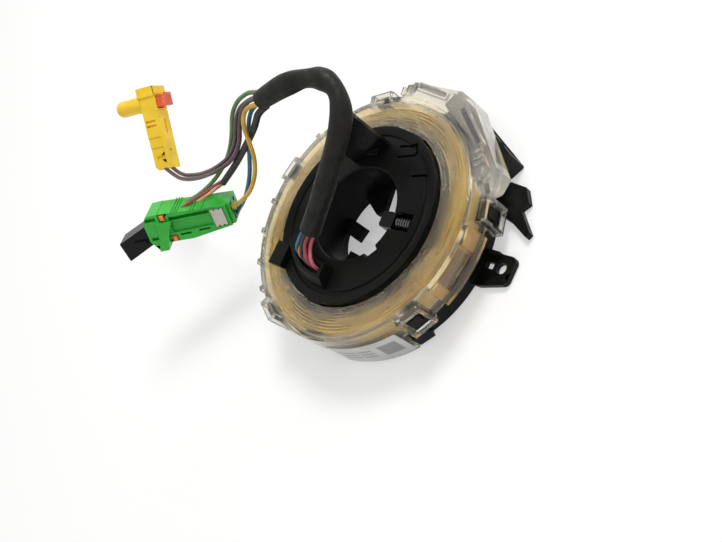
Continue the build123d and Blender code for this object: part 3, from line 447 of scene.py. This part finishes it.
# %% Wound cable
winding, tree, shader = start_material("tape_amber")
shader.inputs["Specular IOR Level"].default_value = 0.2
streaks = around_axis(tree, around=1.2, across=700)
amber = ramp(tree, streaks, (0.60, 0.44, 0.11, 1), (0.94, 0.77, 0.30, 1), at=(0.36, 0.62))
patches = noise(tree, 75, detail=5, roughness=0.6)
leaning = ramp(tree, patches, grey(0), grey(0.55), at=(0.5, 0.72))
amber = mix(tree, leaning, amber, (0.42, 0.27, 0.08, 1))

dust_dark, dust_light = (0.12, 0.10, 0.092, 1), (0.85, 0.77, 0.70, 1)
rubbed_off = around_axis(tree, around=2.2, across=900)
dusty = ramp(tree, rubbed_off, dust_dark, dust_light, at=(0.46, 0.66))
from_rotor = axis_distance(tree, 39.5, 45.0)
near_rotor = ramp(tree, from_rotor, grey(0.9), grey(0), at=(0.1, 1.0))
tree.links.new(mix(tree, near_rotor, amber, dusty), shader.inputs["Base Color"])
uneven_gloss(tree, shader, streaks, 0.28, 0.5)
bump(tree, shader, noise(tree, 700, detail=3), strength=0.2, depth=0.2)
print("winding:", winding.name)

# %% [markdown]
# ## Metal
#
# The lock spring is dark spring steel and the pins are tinned. Both are the same recipe:
# a metallic shader needs only a colour and an uneven roughness, because metal shows what
# is round it.


# %% Steel and tin
def metal(name, colour, grain, detail, rough):
    """Bare metal with an uneven polish."""
    material, tree, shader = start_material(name)
    shader.inputs["Base Color"].default_value = colour
    shader.inputs["Metallic"].default_value = 1.0
    uneven_gloss(tree, shader, noise(tree, grain, detail), *rough)
    return material


steel = metal("steel", (0.14, 0.14, 0.135, 1), grain=900, detail=3, rough=(0.18, 0.34))
tin = metal("tin", (0.72, 0.71, 0.68, 1), grain=700, detail=2, rough=(0.25, 0.42))
print("metals:", steel.name, tin.name)

# %% [markdown]
# ## The label
#
# The label is coated paper on the skirt. Its print is only suggested, by plain bars and
# one plain square, painted by angle and height. An image could show more, but a reusable
# part has no lettering, and bars need no unwrapped mesh.

# %% Label paper
paper, tree, shader = start_material("label_white")
face = ramp(tree, noise(tree, 120, detail=4), (0.46, 0.46, 0.44, 1), (0.54, 0.54, 0.52, 1))
bar_height, bar_feet, bar_angles = 0.8, (5.5, 8.0, 10.5), ((11, 20), (21.5, 28))
printed = [(*angles, low, low + bar_height) for low in bar_feet for angles in bar_angles]
printed.append((32, 41, 4.5, 12.5))  # the square
for start, end, low, high in printed:
    across = sector(tree, start, end, soft=0.3)
    patch = product(tree, across, at_height(tree, low, high, soft=0.15))
    face = mix(tree, patch, face, (0.24, 0.24, 0.245, 1))
tree.links.new(face, shader.inputs["Base Color"])
shader.inputs["Roughness"].default_value = 0.42
shader.inputs["Specular IOR Level"].default_value = 0.3
bump(tree, shader, noise(tree, 5200, detail=2), strength=0.05, depth=0.1)
print("label:", len(printed), "plain fields")

# %% [markdown]
# ## The red lock
#
# The airbag plug's lock is clear red plastic, thick for its size. Full transmission would
# make it vanish over the yellow plug, so a little under half of it stays opaque.

# %% Clear red plastic
red_clear, tree, shader = start_material("lock_red")
shader.inputs["Base Color"].default_value = (0.95, 0.17, 0.06, 1)
shader.inputs["Transmission Weight"].default_value = 0.55
shader.inputs["IOR"].default_value = 1.5
uneven_gloss(tree, shader, noise(tree, 300, detail=4), 0.14, 0.3)
bump(tree, shader, noise(tree, 900, detail=3), strength=0.08, depth=0.2)
print("red lock:", red_clear.name)

# %% [markdown]
# ## Wire insulation
#
# Thin wires are extruded: smooth and slightly waxy, with colour that varies along them.
# One function makes them all, and a table holds what differs, which is the colour.


# %% Insulation
def insulation(name, colour, rough=(0.3, 0.45)):
    """Extruded wire insulation."""
    material, tree, shader = start_material(name)
    drift = noise(tree, 200, detail=4)
    base = ramp(tree, drift, shade(colour, 0.8), shade(colour, 1.2))
    tree.links.new(base, shader.inputs["Base Color"])
    uneven_gloss(tree, shader, noise(tree, 600, detail=3), *rough)
    bump(tree, shader, noise(tree, 1500, detail=3), strength=0.12, depth=0.1)
    return material


wire_colours = {
    "wire_green": (0.09, 0.18, 0.055),
    "wire_purple": (0.065, 0.033, 0.04),
    "wire_ochre": (0.56, 0.33, 0.035),
    "wire_blue": (0.022, 0.12, 0.19),
    "wire_red": (0.26, 0.03, 0.045),
    "wire_peach": (0.72, 0.33, 0.16),
    "wire_pink": (0.42, 0.09, 0.11),
    "wire_maroon": (0.11, 0.022, 0.02),
    "wire_black": (0.014, 0.014, 0.014),
    "wire_orange": (0.62, 0.18, 0.02),
}
insulations = {name: insulation(name, colour) for name, colour in wire_colours.items()}
taped = insulation("tape_black", (0.010, 0.010, 0.009), rough=(0.4, 0.6))
print("insulations:", len(insulations))

# %% [markdown]
# ## The sleeve
#
# The sleeve over the wires is a flexible black tube, creased and a little dusty. The creases
# are a stretched noise in the bump: as geometry they would cost thousands of triangles for
# what is a change of light.

# %% Sleeve
sleeve_black, tree, shader = start_material("sleeve_black")
dust = noise(tree, 160, detail=6, roughness=0.65)
base = ramp(tree, dust, (0.005, 0.005, 0.0045, 1), (0.017, 0.016, 0.014, 1))
tree.links.new(base, shader.inputs["Base Color"])
uneven_gloss(tree, shader, noise(tree, 420, detail=3), 0.38, 0.62)
shader.inputs["Specular IOR Level"].default_value = 0.16
creases = noise(tree, 240, detail=5, roughness=0.6, stretch=(1, 1, 2))
bump(tree, shader, creases, strength=0.55, depth=0.8)
print("sleeve:", sleeve_black.name)

# %% [markdown]
# ## Dressing the solids
#
# A moulded edge is never perfectly sharp. Rounding every edge in the CAD would cost many
# faces in a model that physics uses too. So modifiers do it, and leave the mesh alone: a
# weld joins the split corners, this small node group smooths the round faces, and a bevel
# rounds what is left.

# %% Smooth round faces, keep real corners
corner = radians(34)  # the angle between two faces above which their edge is a corner
soften = bpy.data.node_groups.new("smooth_round_faces", "GeometryNodeTree")
soften.interface.new_socket("Geometry", in_out="INPUT", socket_type="NodeSocketGeometry")
soften.interface.new_socket("Geometry", in_out="OUTPUT", socket_type="NodeSocketGeometry")
group_in = soften.nodes.new("NodeGroupInput")
group_out = soften.nodes.new("NodeGroupOutput")
smooth_faces = soften.nodes.new("GeometryNodeSetShadeSmooth")
sharp_edges = soften.nodes.new("GeometryNodeSetShadeSmooth")
sharp_edges.domain = "EDGE"
sharp_edges.inputs["Shade Smooth"].default_value = False
edge_angle = soften.nodes.new("GeometryNodeInputMeshEdgeAngle")
is_corner = soften.nodes.new("FunctionNodeCompare")
is_corner.inputs[1].default_value = corner
soften.links.new(edge_angle.outputs["Unsigned Angle"], is_corner.inputs[0])
soften.links.new(group_in.outputs[0], smooth_faces.inputs["Geometry"])
soften.links.new(smooth_faces.outputs[0], sharp_edges.inputs["Geometry"])
soften.links.new(is_corner.outputs[0], sharp_edges.inputs["Selection"])
soften.links.new(sharp_edges.outputs[0], group_out.inputs[0])
print("nodes in the group:", len(soften.nodes))

# %% [markdown]
# ## A finish and three modifiers
#
# The modifiers are the same for every solid, so a function adds them. The weld comes first,
# because a bevel can't round an edge whose two faces don't share their corners. Small parts
# have thin walls, where clamping would shrink every bevel to the thinnest, so it is off.


# %% Dress one solid
def dress(name, material, edge):
    """Gives a solid its finish and soft edges of a radius in millimetres."""
    piece = nodes[name]
    piece.data.materials.clear()
    piece.data.materials.append(material)
    weld = piece.modifiers.new("weld", "WELD")
    weld.merge_threshold = 1e-6
    smooth = piece.modifiers.new("smooth", "NODES")
    smooth.node_group = soften
    if edge:
        bevel = piece.modifiers.new("edge", "BEVEL")
        bevel.width = mm(edge)
        bevel.segments = 2
        bevel.limit_method = "ANGLE"
        bevel.angle_limit = corner
        bevel.use_clamp_overlap = False
        bevel.harden_normals = True


print("helper: dress")

# %% [markdown]
# ## One table of finishes
#
# Each solid gets a finish and the radius of its edges, in millimetres. A table is easier to
# check against the real part than thirty separate lines of code. The cable, wires, pins,
# spring and label are too thin to round, so their radius is 0.

# %% Give every solid its finish
finishes = {
    "stator_base": (black_base, 0.2),
    "clear_cover": (clear, 0.25),
    "id_label": (paper, 0),
    "stator_connector": (black_gloss, 0.15),
    "stator_pins": (tin, 0),
    "flat_cable": (winding, 0),
    "outer_terminal": (black_gloss, 0.1),
    "inner_terminal": (black_gloss, 0.1),
    "rotor_top": (black_rotor, 0.2),
    "rotor_ring": (black_rotor, 0.2),
    "lock_slider": (black_gloss, 0.15),
    "lock_spring": (steel, 0),
    "cable_tower": (black_rotor, 0.25),
    "guide_flap": (black_gloss, 0.25),
    "yellow_housing": (yellow, 0.2),
    "yellow_lock": (red_clear, 0.25),
    "yellow_contacts": (tin, 0),
    "green_housing": (green, 0.18),
    "green_cap": (cap_green, 0.25),
    "white_panel": (ivory, 0.1),
    "orange_lock_a": (orange, 0.15),
    "orange_lock_b": (orange, 0.15),
    "black_plug": (black_gloss, 0.2),
    "lead_red": (insulations["wire_red"], 0),
    "lead_peach": (insulations["wire_peach"], 0),
    "tower_lead_1": (insulations["wire_blue"], 0),
    "tower_lead_2": (insulations["wire_orange"], 0),
    "tower_lead_3": (insulations["wire_black"], 0),
    "tower_lead_4": (insulations["wire_maroon"], 0),
    "tower_lead_5": (insulations["wire_red"], 0),
    "tower_lead_6": (insulations["wire_pink"], 0),
}
for name, (material, edge) in finishes.items():
    dress(name, material, edge)
print("dressed:", len(finishes), "of", len(nodes))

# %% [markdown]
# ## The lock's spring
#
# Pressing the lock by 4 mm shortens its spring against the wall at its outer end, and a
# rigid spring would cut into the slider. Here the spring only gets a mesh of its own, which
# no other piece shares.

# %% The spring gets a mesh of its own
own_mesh(nodes["lock_spring"])

# %% [markdown]
# ## The sleeve and its wires
#
# Short wires this thick for their length are springy: they keep the bends that the
# loom gave them. A mesh tube would need hundreds of rings to bend as smoothly, so each is
# one NURBS curve that follows a few points, with a round section. Order 3 keeps the curve
# close to its points without kinks. Where the sleeve bends it is pinched and swells again
# beside it, so some of its points get a share of the full radius.

# %% Routes in millimetres
# For each cord, the share of the full radius at a point of its route.
pinches = {"sleeve": {1: 0.95, 4: 0.96, 6: 1.0, 7: 0.72, 8: 1.08, 9: 0.74, 10: 1.06, 12: 0.9}}
routes = {
    "sleeve": [
        (14.6, -4.8, 38.0), (7.4, -0.4, 42.8), (0.2, 4.1, 48.2), (-5.6, 8.0, 52.8),
        (-11.4, 11.8, 57.6), (-17.2, 15.0, 62.0), (-23.2, 16.6, 66.4), (-29.4, 13.4, 70.0),
        (-32.0, 6.4, 72.2), (-31.0, -1.4, 73.0), (-28.6, -9.4, 72.8), (-25.2, -17.4, 71.8),
        (-21.3, -25.5, 70.0),
    ],
    "wire_green": [
        (-23.3, -25.0, 72.6), (-23.3, -30.3, 71.6), (-23.0, -35.2, 70.7), (-19.7, -40.9, 69.5),
        (-15.0, -45.5, 65.9), (-10.1, -50.3, 58.9), (-5.0, -56.0, 52.5), (0.8, -62.1, 47.6),
        (7.4, -68.8, 44.3), (14.3, -73.1, 44.6), (18.3, -75.4, 46.1), (22.0, -76.9, 47.5),
    ],
    "wire_purple_a": [
        (-24.0, -24.9, 70.3), (-22.2, -30.4, 69.6), (-20.5, -35.4, 68.9), (-17.3, -40.5, 67.5),
        (-12.5, -43.9, 63.5), (-7.7, -47.7, 57.3), (-2.1, -53.9, 52.4), (3.0, -64.1, 49.4),
        (4.8, -75.4, 45.4), (6.2, -87.4, 41.5), (8.0, -103.2, 39.5), (4.1, -117.8, 37.8),
    ],
    "wire_purple_b": [
        (-20.7, -24.1, 72.7), (-20.2, -27.9, 71.9), (-19.5, -31.5, 71.0), (-16.6, -36.5, 68.7),
        (-12.1, -39.9, 64.2), (-7.3, -43.8, 57.8), (-1.4, -50.1, 52.8), (4.4, -61.8, 49.6),
        (8.3, -83.5, 43.0), (9.9, -98.0, 40.8), (8.5, -108.0, 40.4), (6.2, -119.0, 40.2),
    ],
    "wire_ochre": [
        (-19.3, -23.2, 70.5), (-18.3, -28.6, 71.0), (-15.5, -32.9, 69.7), (-11.5, -35.2, 65.6),
        (-8.1, -35.3, 60.5), (-4.1, -36.5, 53.6), (1.5, -38.1, 48.3), (7.3, -42.1, 44.1),
        (11.7, -46.9, 42.4), (13.4, -52.7, 39.9), (14.2, -56.2, 38.3), (14.9, -59.8, 36.7),
    ],
    "wire_blue": [
        (-22.4, -24.2, 69.5), (-20.3, -28.6, 68.4), (-18.3, -32.6, 67.2), (-15.2, -37.3, 63.2),
        (-11.4, -43.4, 55.8), (-5.0, -44.5, 50.5), (0.7, -44.5, 46.6), (6.4, -46.8, 42.4),
        (11.7, -53.5, 36.5), (15.7, -61.8, 31.7),
    ],
    "taped_bundle": [
        (-20.5, -23.3, 67.9), (-17.3, -27.2, 67.7), (-13.8, -30.6, 64.0), (-11.3, -35.0, 60.7),
        (-8.6, -40.2, 57.1), (-3.1, -49.4, 51.0), (2.6, -55.7, 47.5), (7.4, -61.2, 44.9),
    ],
}
wire_size, bundle_size, sleeve_size = mm(1.8), mm(2.8), mm(8.4)
print("routes:", {name: len(route) for name, route in routes.items()})

# %% [markdown]
# ## Laying a cord
#
# A curve with a round bevel is the plain way to make a wire: its route stays a handful of
# points that can be changed. The order and the end setting are given after the points,
# because Blender limits the order to the number of points it has.

# %% Lay a cord along its route
steps_a_span = 10


def lay_cord(name, diameter, material):
    """A NURBS curve along a route, which stands for the node of that name."""
    curve = bpy.data.curves.new(name + "_line", "CURVE")
    curve.dimensions = "3D"
    curve.resolution_u = steps_a_span
    curve.bevel_depth = diameter / 2
    curve.bevel_resolution = 6
    curve.use_fill_caps = True
    spline = curve.splines.new("NURBS")
    route = routes[name]
    spline.points.add(len(route) - 1)
    for point, place in zip(spline.points, route):
        point.co = (*mm(*place), 1)
    for index, share in pinches.get(name, {}).items():
        spline.points[index].radius = share
    spline.order_u = 3
    spline.use_endpoint_u = True
    spline.resolution_u = steps_a_span
    piece = bpy.data.objects.new(name + "_cord", curve)
    bpy.context.scene.collection.objects.link(piece)
    curve.materials.append(material)
    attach(piece, "rotor")
    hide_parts(name)
    return piece


sleeve = lay_cord("sleeve", sleeve_size, sleeve_black)
wires = {
    "wire_green": "wire_green",
    "wire_purple_a": "wire_purple",
    "wire_purple_b": "wire_purple",
    "wire_ochre": "wire_ochre",
    "wire_blue": "wire_blue",
}
laid = {name: lay_cord(name, wire_size, insulations[slot]) for name, slot in wires.items()}
bundle = lay_cord("taped_bundle", bundle_size, taped)
print("cords laid:", 2 + len(laid))

# %% [markdown]
# ## The parts of the green plug
#
# A curve shows how a cord lies, but not what it is. The wires start where the sleeve ends,
# and carry the plugs with all that is fixed to them. Here the parts of the green plug are
# only gathered in one list: its housing, cap, white panel, black plug and two orange locks.

green_plug = [nodes[n] for n in ("green_housing", "green_cap", "white_panel", "black_plug")]
green_plug += [nodes["orange_lock_a"], nodes["orange_lock_b"]]

# %% [markdown]
# ## A background that doesn't light
#
# The floor and the world have to look white without pouring white light on the part.
# Light Path tells what kind of ray arrives: rays from the camera, and those that metal
# and glass send on, see the background, and only the others light the part.


# %% Rays that show the background
def background_rays(tree):
    """1 for camera, glossy and transmission rays, and 0 for rays that light the part."""
    rays = add_node(tree, "ShaderNodeLightPath")
    seen = rays.outputs["Is Camera Ray"]
    for kind in ("Is Glossy Ray", "Is Transmission Ray"):
        either = add_node(tree, "ShaderNodeMath", operation="MAXIMUM")
        tree.links.new(seen, either.inputs[0])
        tree.links.new(rays.outputs[kind], either.inputs[1])
        seen = either.outputs["Value"]
    return seen


print("helper: background_rays")

# %% [markdown]
# ## Floor
#
# The floor is one plain pale sheet. A floor that only glows would lose the shadow that
# sets the part on the ground, and a floor that is only paper would look grey. So it is a
# blend of the two, and the paper in it keeps the shadow. It lies a hair under the part.

# %% Floor
floor_mesh = bpy.data.meshes.new("floor")
reach = 4.0
corners = [(-reach, -reach, 0), (reach, -reach, 0), (reach, reach, 0), (-reach, reach, 0)]
floor_mesh.from_pydata(corners, [], [(0, 1, 2, 3)])
floor = bpy.data.objects.new("floor", floor_mesh)
floor.location.z = -mm(0.4)
bpy.context.scene.collection.objects.link(floor)

floor_paper, tree, shader = start_material("floor_paper")
shader.inputs["Base Color"].default_value = (0.94, 0.94, 0.93, 1)
shader.inputs["Roughness"].default_value = 0.9
glow_share = 0.42
share = product(tree, background_rays(tree), glow_share)
white = add_node(tree, "ShaderNodeEmission", Color=(1, 1, 1, 1), Strength=1.0)
blend = add_node(tree, "ShaderNodeMixShader")
tree.links.new(share, blend.inputs["Fac"])
tree.links.new(shader.outputs["BSDF"], blend.inputs[1])
tree.links.new(white.outputs["Emission"], blend.inputs[2])
tree.links.new(blend.outputs["Shader"], tree.nodes["Material Output"].inputs["Surface"])
floor_mesh.materials.append(floor_paper)
print("floor:", reach * 2, "m wide")

# %% [markdown]
# ## World
#
# A picture of a room would put its windows into every reflection. An even white sky is the
# softest light there is, and the plainest. It lights the part at 0.6, and is seen at 1,
# which is white.

# %% World
world = bpy.data.worlds.new("studio")
bpy.context.scene.world = world
world.use_nodes = True
tree = world.node_tree
backdrop = tree.nodes["Background"]
level = add_node(tree, "ShaderNodeMapRange")
level.inputs["To Min"].default_value = 0.6
level.inputs["To Max"].default_value = 1.0
tree.links.new(background_rays(tree), level.inputs["Value"])
tree.links.new(level.outputs["Result"], backdrop.inputs["Strength"])
backdrop.inputs["Color"].default_value = (1, 1, 1, 1)
print("sky lights at", round(level.inputs["To Min"].default_value, 2))

# %% [markdown]
# ## Lamps
#
# Sky alone leaves the forms flat, so three square soft boxes shape them. The key stands
# high on one side and throws the soft shadow to the other. None stands where the flat
# faces of the rotor would mirror it, because black plastic would then look grey.


# %% Lamps
def lamp(name, place, size, power):
    """A square soft box that looks at the middle of the ring; metres and watts."""
    data = bpy.data.lights.new(name, "AREA")
    data.size = size
    data.energy = power
    light = bpy.data.objects.new(name, data)
    bpy.context.scene.collection.objects.link(light)
    light.location = place
    light.rotation_euler = light.location.to_track_quat("Z", "Y").to_euler()
    return light


lamps = [
    lamp("key", (-0.6, 0.05, 0.85), size=0.35, power=6.4),
    lamp("fill", (0.5, 0.6, 0.6), size=0.6, power=1.2),
    lamp("side", (-0.75, -0.45, 0.35), size=0.35, power=1.0),
]
bpy.context.scene.view_settings.view_transform = "Standard"
print("lamps:", [light.name for light in lamps])
